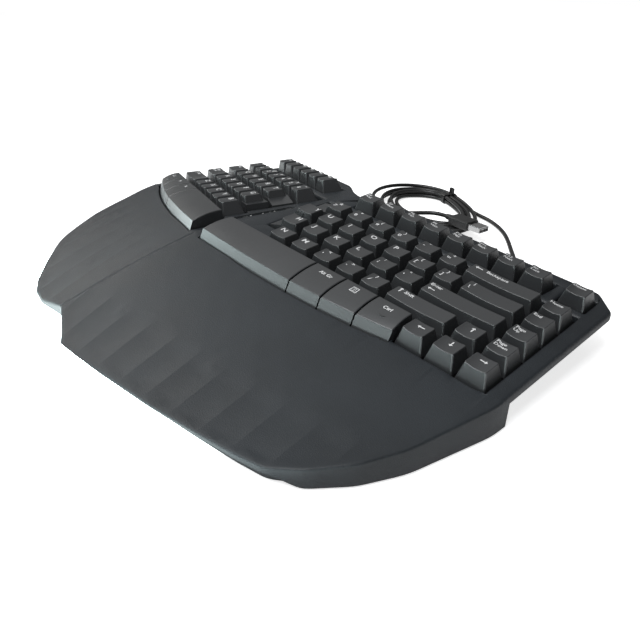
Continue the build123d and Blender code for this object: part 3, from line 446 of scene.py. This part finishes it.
def flute_share(place):
    """Where a point lies among the flutes: whole numbers are their ridges."""
    x, y = place.x - split.x, place.y - split.y
    return (x + flute_lean * (y + flute_back) - flute_start) / flute_pitch


def on_palm(place):
    out, back = abs(place.x - split.x), place.y - split.y
    height, down = palm_height(out, back)
    return down > 0 and abs(place.z - height) < palm_near


def palm_lowering(place, rim_gap):
    """How far the palm rest is let down at a point, by its flutes and by the seam."""
    x, y = place.x - split.x, place.y - split.y
    height, down = palm_height(abs(x), y)
    lobe = 1 - (2 * (flute_share(place) % 1) - 1) ** 2
    deep, shallow, depth_share = right_flutes if x > 0 else left_flutes
    fade = eased(down, shallow, deep) * eased(rim_gap, *flute_rim_gap)
    lowering = flute_depth * lobe * fade * depth_share
    if abs(x) < seam_half:
        lowering += seam_depth
    return lowering


def cut_faces(surface, faces, spot, direction, near=1e-6):
    """Cuts the given faces along a plane, which corners nearer than near are taken to lie on."""
    edges = dict.fromkeys(edge for face in faces for edge in face.edges)
    corners = dict.fromkeys(corner for face in faces for corner in face.verts)
    bmesh.ops.bisect_plane(
        surface, geom=[*corners, *edges, *faces], dist=near, plane_co=spot, plane_no=direction
    )


def cut_palm(surface, spot, direction):
    palm = [
        face for face in surface.faces
        if face.normal.z > top_tilt and on_palm(face.calc_center_median())
    ]
    cut_faces(surface, palm, spot, direction)


def soften_edges(surface):
    """Rounds the case's outer top edges, the palm rest's less than the deck's."""
    surface.normal_update()
    walls = BVHTree.FromBMesh(surface)
    palm_edges, deck_edges = [], []
    for edge in surface.edges:
        if len(edge.link_faces) != 2 or not edge.is_convex:
            continue
        top, wall = sorted(edge.link_faces, key=lambda face: -face.normal.z)
        if top.normal.z < 0.6 or abs(wall.normal.z) > wall_tilt:
            continue
        middle = (edge.verts[0].co + edge.verts[1].co) / 2
        away = Vector((wall.normal.x, wall.normal.y, 0)).normalized()
        beside = middle + away * 0.5 * mm - Vector((0, 0, 0.8 * mm))
        if walls.ray_cast(beside, away)[0] is None:
            rim = palm_edges if on_palm(middle) else deck_edges
            rim.append(edge)
    for edges, offset in ((deck_edges, deck_round), (palm_edges, palm_round)):
        bmesh.ops.bevel(
            surface, geom=[edge for edge in edges if edge.is_valid], offset=offset,
            offset_type="OFFSET", segments=3, profile=0.5, affect="EDGES", clamp_overlap=False,
        )


def ease_skirt(surface):
    """Lets the trimmed front skirt run down to the full one over its last stretch."""
    start, end = skirt_ease
    for row in range(skirt_ease_steps + 1):
        low_faces = [face for face in surface.faces if face.calc_center_bounds().z < skirt_top]
        place = split + Vector((0, start + (end - start) * row / skirt_ease_steps, 0))
        cut_faces(surface, low_faces, place, (0, 1, 0))
    for corner in surface.verts:
        x, y = corner.co.x - split.x, corner.co.y - split.y
        foot = skirt_foot + skirt_rise_share * abs(x)
        if start < y < end + 0.1 * mm and abs(corner.co.z - foot) < 0.15 * mm:
            corner.co.z -= (foot - skirt_lip) * eased(y, start, end)
    bmesh.ops.remove_doubles(surface, verts=surface.verts, dist=1e-6)
    bmesh.ops.dissolve_degenerate(surface, edges=surface.edges, dist=1e-6)


def cut_flutes(surface):
    """Cuts the palm rest along the flutes, the seam and evenly spaced rows across them."""
    across_flutes = Vector((1.0, flute_lean, 0.0)).normalized()
    for ridge in flute_ridges:
        for part in range(flute_cuts):
            reach = (ridge + part / flute_cuts) * flute_pitch + flute_start
            cut_palm(surface, split + Vector((reach, -flute_back, 0)), across_flutes)
    for aside in (-seam_side, -seam_half, seam_half, seam_side):
        cut_palm(surface, split + Vector((aside, 0, 0)), Vector((1, 0, 0)))
    for row in range(flute_rows):
        row_spot = Vector((0, -flute_row_start + flute_row_step * row, 0))
        cut_palm(surface, split + row_spot, Vector((0, 1, 0)))


def lower_palm(surface):
    """Lets the palm rest down into its flutes and its seam, and gives the flutes' ridges."""
    surface.normal_update()
    surface.verts.index_update()
    walls = BVHTree.FromPolygons(
        [corner.co for corner in surface.verts],
        [[corner.index for corner in face.verts]
         for face in surface.faces if abs(face.normal.z) < wall_tilt],
    )
    moves = []
    for corner in surface.verts:
        if on_palm(corner.co) and all(face.normal.z > top_tilt for face in corner.link_faces):
            moves.append((corner, palm_lowering(corner.co, walls.find_nearest(corner.co)[3])))
    for corner, lowering in moves:
        corner.co.z -= lowering
    level = {corner for corner, lowering in moves if lowering < 0.01 * mm}
    crests = {
        corner for corner in level
        if abs(flute_share(corner.co) - round(flute_share(corner.co))) < 0.002
    }
    return [edge for edge in surface.edges if all(corner in crests for corner in edge.verts)]


def make_top_case():
    surface = copied_mesh("top_case")
    bmesh.ops.dissolve_limit(
        surface, angle_limit=math.radians(0.4), verts=surface.verts, edges=surface.edges,
        delimit={"NORMAL"},
    )
    soften_edges(surface)
    ease_skirt(surface)
    cut_flutes(surface)
    ridges = lower_palm(surface)
    piece = make_piece("top_case_shell", finished_mesh(surface, "top_case_shell", ridges))
    give_finish(piece, "case_plastic")
    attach(piece, "case")
    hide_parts("top_case")


make_top_case()

# Legends: printed letters that follow each key's crown
letter_size = 5.3 * mm
word_size = 3.6 * mm
small_word_size = 3.2 * mm
tiny_word_size = 3.0 * mm
stroke_share = 0.022
mark_step = 0.8 * mm
mark_above = 5 * mm
mark_lift = 0.04 * mm
arrow_outline = [
    (-0.18, -0.3), (-0.18, -0.09), (0.5, -0.09), (0.5, 0.09),
    (-0.18, 0.09), (-0.18, 0.3), (-0.5, 0.0),
]
arrow_turns = {"<": 0.0, ">": 180.0, "^": -90.0, "v": 90.0}


def text_shape(words, size):
    """Flat letters of one or more lines, with their top left corner at the origin."""
    letters = bpy.data.curves.new("letters", "FONT")
    letters.body = words
    letters.size = size
    letters.offset = stroke_share * size
    letters.space_line = 0.95
    letters.resolution_u = 3
    writing = make_piece("letters", letters)
    flat = evaluated_mesh(writing)
    bpy.data.objects.remove(writing)
    bpy.data.curves.remove(letters)
    shape = bmesh.new()
    shape.from_mesh(flat)
    bpy.data.meshes.remove(flat)
    left = min(corner.co.x for corner in shape.verts)
    top = max(corner.co.y for corner in shape.verts)
    for corner in shape.verts:
        corner.co -= Vector((left, top, 0))
    return shape


def menu_shape(size):
    """A framed list: four bars round three short ones."""
    shape = bmesh.new()
    bars = [(0, 0, 1, 0.1), (0, 0.9, 1, 1), (0, 0.1, 0.1, 0.9), (0.9, 0.1, 1, 0.9)]
    bars += [(0.25, 0.2 + step, 0.75, 0.28 + step) for step in (0, 0.26, 0.52)]
    for left, low, right, high in bars:
        spots = [(left, low - 1), (right, low - 1), (right, high - 1), (left, high - 1)]
        shape.faces.new([shape.verts.new(Vector((x, y, 0)) * size) for x, y in spots])
    return shape


def arrow_shape(way, size):
    shape = bmesh.new()
    turn = Matrix.Rotation(math.radians(arrow_turns[way]), 3, "Z")
    middle = Vector((size / 2, -size / 2, 0))
    spots = [(turn @ Vector((x, y, 0)) * size) + middle for x, y in arrow_outline]
    shape.faces.new([shape.verts.new(spot) for spot in spots])
    return shape


def mark_shape(words, size):
    if words == "menu":
        return menu_shape(size)
    if words.startswith("arrow "):
        return arrow_shape(words[-1], size)
    return text_shape(words, size)


def print_legends(name, side, marks):
    """marks are what mark_at gives, each for one of the node's keys."""
    crown = node_surface(name)
    plane = halves[side]
    up = (plane.to_3x3() @ Vector((0, 0, 1))).normalized()
    joined = bmesh.new()
    for words, start, front, inset, back, size in marks:
        shape = mark_shape(words, size)
        corner = Vector((start + inset, front + back, 0))
        width = max(point.co.x for point in shape.verts)
        for cut in range(1, int(width / mark_step) + 1):
            cut_faces(shape, [*shape.faces], (cut * mark_step, 0, 0), (1, 0, 0), 1e-7)
        for point in shape.verts:
            above = plane @ (point.co + corner + Vector((0, 0, mark_above)))
            hit = crown.ray_cast(above, -up)[0]
            point.co = (hit if hit is not None else plane @ (point.co + corner)) + up * mark_lift
        flat = bpy.data.meshes.new("mark")
        shape.to_mesh(flat)
        shape.free()
        joined.from_mesh(flat)
        bpy.data.meshes.remove(flat)
    mesh = bpy.data.meshes.new("legend_" + name)
    joined.to_mesh(mesh)
    joined.free()
    legend = make_piece("legend_" + name, mesh)
    mesh.materials.append(finishes["legend_ink"])
    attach(legend, name)


row_fronts = {
    "function": function_front, "number": 3 * key_pitch, "upper": 2 * key_pitch,
    "home": key_pitch, "lower": 0.0, "bottom": -key_pitch,
}


def mark_at(words, row, start, inset, back, size):
    """A mark inset and back, in millimetres, from a cell's left front corner."""
    return (words, start * key_pitch, row_fronts[row], inset * mm, back * mm, size)


def letter_mark(letter, row, start):
    return mark_at(letter, row, start, 5.2, 13.4, letter_size)


def word_mark(words, row, start, inset=4.4, size=word_size):
    return mark_at(words, row, start, inset, 13.4, size)


def thumb_mark(words, start, inset=8.5):
    return mark_at(words, "bottom", start, inset, 11.5, word_size)


def arrow_key_mark(way, row, start):
    return mark_at("arrow " + way, row, start, 7.6, 12.8, 4.4 * mm)


def pair_marks(upper, lower, row, start):
    return [
        mark_at(upper, row, start, 6.8, 14.2, 3.8 * mm),
        mark_at(lower, row, start, 5.0, 9.8, 4.4 * mm),
    ]


letter_rows = [
    ("right", "upper", [("u", 0.5), ("i", 1.5), ("o", 2.5), ("p", 3.5)]),
    ("right", "home", [("j", 0.75), ("k", 1.75), ("l", 2.75)]),
    ("right", "lower", [("n", 0.25), ("m", 1.25)]),
    ("left", "upper", [("q", -5.5), ("w", -4.5), ("e", -3.5), ("r", -2.5)]),
    ("left", "home", [("a", -5.25), ("s", -4.25), ("d", -3.25), ("f", -2.25)]),
    ("left", "lower", [("z", -4.75), ("x", -3.75), ("c", -2.75), ("v", -1.75)]),
    ("right", "upper", [("y", -0.15)]),
    ("right", "home", [("h", -0.05)]),
    ("left", "upper", [("t", -1.5)]),
    ("left", "home", [("g", -1.25)]),
    ("left", "lower", [("b", -0.75)]),
]
for side, row, letters in letter_rows:
    for letter, start in letters:
        print_legends("key_" + letter, side, [letter_mark(letter.upper(), row, start)])

print_legends("enter_key", "right", [
    word_mark("Enter", "home", 5.75), mark_at("arrow <", "home", 5.75, 5.2, 9.65, 4.6 * mm),
])
print_legends("backspace_key", "right", [
    word_mark("Backspace", "number", 6, 13.0),
    mark_at("arrow <", "number", 6, 5.0, 14.2, 5.0 * mm),
])
for name, side, start in (("right_shift_key", "right", 5.25), ("left_shift_key", "left", -7)):
    print_legends(name, side, [
        word_mark("Shift", "lower", start, 9.4),
        mark_at("arrow ^", "lower", start, 4.4, 14.0, 4.2 * mm),
    ])
print_legends("tab_and_caps_keys", "left", [
    word_mark("Tab", "upper", -7), word_mark("Caps\nLock", "home", -7),
])

number_pairs = {
    ("right", 0): ["&7", "*8", "(9", ")0", "_-", "+="],
    ("left", -7): ["~`", "!1", "@2", "#3", "$4", "%5", "^6"],
}
for (side, first), pairs in number_pairs.items():
    print_legends("number_keys_" + side, side, [
        mark for place, pair in enumerate(pairs)
        for mark in pair_marks(*pair, "number", first + place)
    ])
punctuation = [
    ("{", "[", "upper", 4.5), ("}", "]", "upper", 5.5), ("|", "\\", "upper", 6.5),
    (":", ";", "home", 3.75), ('"', "'", "home", 4.75),
    ("<", ",", "lower", 2.25), (">", ".", "lower", 3.25), ("?", "/", "lower", 4.25),
]
print_legends("punctuation_keys", "right", [
    mark for upper, lower, row, start in punctuation
    for mark in pair_marks(upper, lower, row, start)
])

right_functions = [
    "F6\nMail", "F7\nMute", "F8\nVol-", "F9\nVol+", "F10\nPlay", "F11\nBack", "F12\nNext",
    "Scr\nLock",
]
left_functions = ["Esc", "F1", "F2", "F3", "F4", "F5"]
print_legends("function_keys_right", "right", [
    word_mark(words, "function", 0.25 + place, 4.2, tiny_word_size)
    for place, words in enumerate(right_functions)
])
print_legends("function_keys_left", "left", [
    word_mark(words, "function", place - 7, 4.4, small_word_size)
    for place, words in enumerate(left_functions)
])
navigation_start = 8.67
print_legends("navigation_keys", "right", [
    word_mark("Delete", "function", navigation_start, 4.0, tiny_word_size),
    word_mark("Home", "number", navigation_start, 4.2, small_word_size),
    word_mark("End", "upper", navigation_start, 4.4, small_word_size),
    word_mark("Page\nUp", "home", navigation_start, 4.4, small_word_size),
    word_mark("Page\nDown", "lower", navigation_start, 4.4, small_word_size),
])
print_legends("arrow_keys", "right", [
    arrow_key_mark("^", "lower", 7.66), arrow_key_mark("<", "bottom", 6.64),
    arrow_key_mark("v", "bottom", 7.65), arrow_key_mark(">", "bottom", 8.66),
])
print_legends("right_modifier_keys", "right", [
    thumb_mark("Alt Gr", 2.89, 8.0), mark_at("menu", "bottom", 4.14, 8.6, 12.5, 4.6 * mm),
    thumb_mark("Ctrl", 5.39),
])
print_legends("left_modifier_keys", "left", [
    thumb_mark("Alt", -4.25), thumb_mark("Fn", -5.5), thumb_mark("Ctrl", -7),
])

# Status window: a row of small lit marks along its strip
window_mark_spot = Vector((-8.9, 22.4, 80.0))
window_mark_pitch = 9.0
window_mark_angle = -5.8
window_mark_radius = 0.55 * mm
window_mark_lift = 0.05 * mm
window_mark_corners = 20
window_marks_shown = 3


def row_of_discs():
    """A tree that repeats a flat disc along a straight row and turns each to its surface."""
    tree = bpy.data.node_groups.new("row_of_discs", "GeometryNodeTree")
    tree.interface.new_socket("Discs", in_out="OUTPUT", socket_type="NodeSocketGeometry")
    sockets = {
        "Count": "NodeSocketInt", "Corners": "NodeSocketInt", "Radius": "NodeSocketFloat",
        "First": "NodeSocketVector", "Step": "NodeSocketVector", "Turn": "NodeSocketVector",
        "Finish": "NodeSocketMaterial",
    }
    for name, kind in sockets.items():
        tree.interface.new_socket(name, in_out="INPUT", socket_type=kind)
    given = tree.nodes.new("NodeGroupInput").outputs
    row = tree.nodes.new("GeometryNodeMeshLine")
    disc = tree.nodes.new("GeometryNodeMeshCircle")
    disc.fill_type = "NGON"
    repeated = tree.nodes.new("GeometryNodeInstanceOnPoints")
    real = tree.nodes.new("GeometryNodeRealizeInstances")
    finished = tree.nodes.new("GeometryNodeSetMaterial")
    result = tree.nodes.new("NodeGroupOutput")
    for source, target in (
        (given["Count"], row.inputs["Count"]), (given["First"], row.inputs["Start Location"]),
        (given["Step"], row.inputs["Offset"]), (given["Corners"], disc.inputs["Vertices"]),
        (given["Radius"], disc.inputs["Radius"]), (row.outputs[0], repeated.inputs["Points"]),
        (disc.outputs[0], repeated.inputs["Instance"]),
        (given["Turn"], repeated.inputs["Rotation"]), (repeated.outputs[0], real.inputs[0]),
        (real.outputs[0], finished.inputs["Geometry"]),
        (given["Finish"], finished.inputs["Material"]), (finished.outputs[0], result.inputs[0]),
    ):
        tree.links.new(source, target)
    return tree


def make_window_marks():
    window = node_surface("indicator_window")
    turned = Matrix.Rotation(math.radians(window_mark_angle), 3, "Z")
    spots = []
    for place in range(window_marks_shown):
        along = window_mark_pitch * (place - (window_marks_shown - 1) / 2)
        above = split + (turned @ Vector((0, along, 0)) + window_mark_spot) * mm
        spot, facing = window.ray_cast(above, Vector((0, 0, -1)))[:2]
        spots.append(spot + facing * window_mark_lift)
    turn = Vector((0, 0, 1)).rotation_difference(facing).to_euler()
    values = {
        "Count": window_marks_shown, "Corners": window_mark_corners, "Radius": window_mark_radius,
        "First": spots[0], "Step": spots[1] - spots[0], "Turn": turn,
        "Finish": finishes["legend_ink"],
    }
    marks = make_piece("window_marks", bpy.data.meshes.new("row"))
    repeat = marks.modifiers.new("row", "NODES")
    repeat.node_group = row_of_discs()
    for socket in repeat.node_group.interface.items_tree:
        if socket.in_out == "INPUT":
            repeat[socket.identifier] = values[socket.name]
    discs = evaluated_mesh(marks)
    discs.name = "window_marks"
    marks.modifiers.clear()
    marks.data = discs
    give_finish(marks, "legend_ink")
    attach(marks, "case")


make_window_marks()

# Floor, light and the pale surroundings
floor_reach = 6.0
floor_near = (-0.105, -0.135)
floor_far = (0.35, 0.9)
camera_glow = 0.75
# The floor's glow in glossy rays and its far brighter colour before the keyboard are a painted
# reflection for the key fronts and the rim.
painted_reflection_strength = 0.2
far_glow = (1.6, 1.6, 1.6, 1)
painted_front_reflection = (34.0, 40.0, 40.0, 1)
bright_sky = Vector((-0.50, 0.20, 0.80))
sky_spread = (0.7, 1.0)
sky_strength = (0.12, 0.58)


def make_floor():
    """A pale floor that glows, white to the camera. Key fronts and the rim mirror its glow, a
    painted reflection that is far brighter before the keyboard and a little brighter behind it.
    """
    mesh = bpy.data.meshes.new("floor")
    corners = [(-1, -1), (1, -1), (1, 1), (-1, 1)]
    spots = [(x * floor_reach, y * floor_reach, 0) for x, y in corners]
    mesh.from_pydata(spots, [], [(0, 1, 2, 3)])
    floor = make_piece("floor", mesh)
    finish = Finish("floor_paper")
    paper = finish.blend(finish.noise(60.0, 2.0), grey(0.84), grey(0.87))
    finish.give(Base_Color=paper, Roughness=0.9)
    path = finish.tree.nodes.new("ShaderNodeLightPath").outputs
    mirrored = Value(finish, path["Is Glossy Ray"]) + Value(finish, path["Is Transmission Ray"])
    strength = camera_glow * Value(finish, path["Is Camera Ray"]) + painted_reflection_strength * mirrored
    back = finish.node("ShaderNodeSeparateXYZ", {}, {0: finish.places}, "Y")
    # Painted reflection: the floor glows far brighter before the keyboard and a little brighter
    # behind it.
    glow = finish.blend(finish.between(*floor_far, back), (1, 1, 1, 1), far_glow)
    glow = finish.blend(finish.between(*floor_near, back), glow, painted_front_reflection)
    finish.give(Emission_Strength=strength, Emission_Color=glow)
    mesh.materials.append(finish.material)


def make_surroundings():
    """A dim room that is brighter up to the left, and white to the camera."""
    world = bpy.data.worlds.new("surroundings")
    bpy.context.scene.world = world
    world.use_nodes = True
    tree = world.node_tree
    ground = tree.nodes["Background"]
    path = tree.nodes.new("ShaderNodeLightPath")
    place = tree.nodes.new("ShaderNodeTexCoord")
    toward = tree.nodes.new("ShaderNodeVectorMath")
    toward.operation = "DOT_PRODUCT"
    toward.inputs[1].default_value = bright_sky.normalized()
    tree.links.new(place.outputs["Generated"], toward.inputs[0])
    ramp = tree.nodes.new("ShaderNodeMapRange")
    ramp.inputs[1].default_value, ramp.inputs[2].default_value = sky_spread
    ramp.inputs[3].default_value, ramp.inputs[4].default_value = sky_strength
    tree.links.new(toward.outputs["Value"], ramp.inputs[0])
    either = tree.nodes.new("ShaderNodeMath")
    either.operation = "MAXIMUM"
    tree.links.new(ramp.outputs[0], either.inputs[0])
    tree.links.new(path.outputs["Is Camera Ray"], either.inputs[1])
    ground.inputs["Color"].default_value = (1, 1, 1, 1)
    tree.links.new(either.outputs[0], ground.inputs["Strength"])


def make_lamp(name, spot, size, power, colour):
    light = bpy.data.lights.new(name, "AREA")
    light.color = colour
    light.shape = "RECTANGLE"
    light.size, light.size_y = size
    light.energy = power
    lamp = bpy.data.objects.new(name, light)
    bpy.context.scene.collection.objects.link(lamp)
    lamp.location = spot
    lamp.rotation_euler = (-Vector(spot)).to_track_quat("-Z", "Y").to_euler()


make_floor()
make_surroundings()
make_lamp("window_lamp", (-1.75, -0.48, 1.08), (1.05, 0.75), 9.5, (1.0, 0.97, 0.93))
make_lamp("front_lamp", (-0.88, -1.02, 0.36), (0.55, 0.4), 4.5, (0.82, 1.0, 1.0))
make_lamp("high_lamp", (0.15, -0.75, 1.25), (1.0, 0.8), 20.0, (0.96, 0.98, 1.0))
bpy.context.scene.view_settings.view_transform = "Standard"
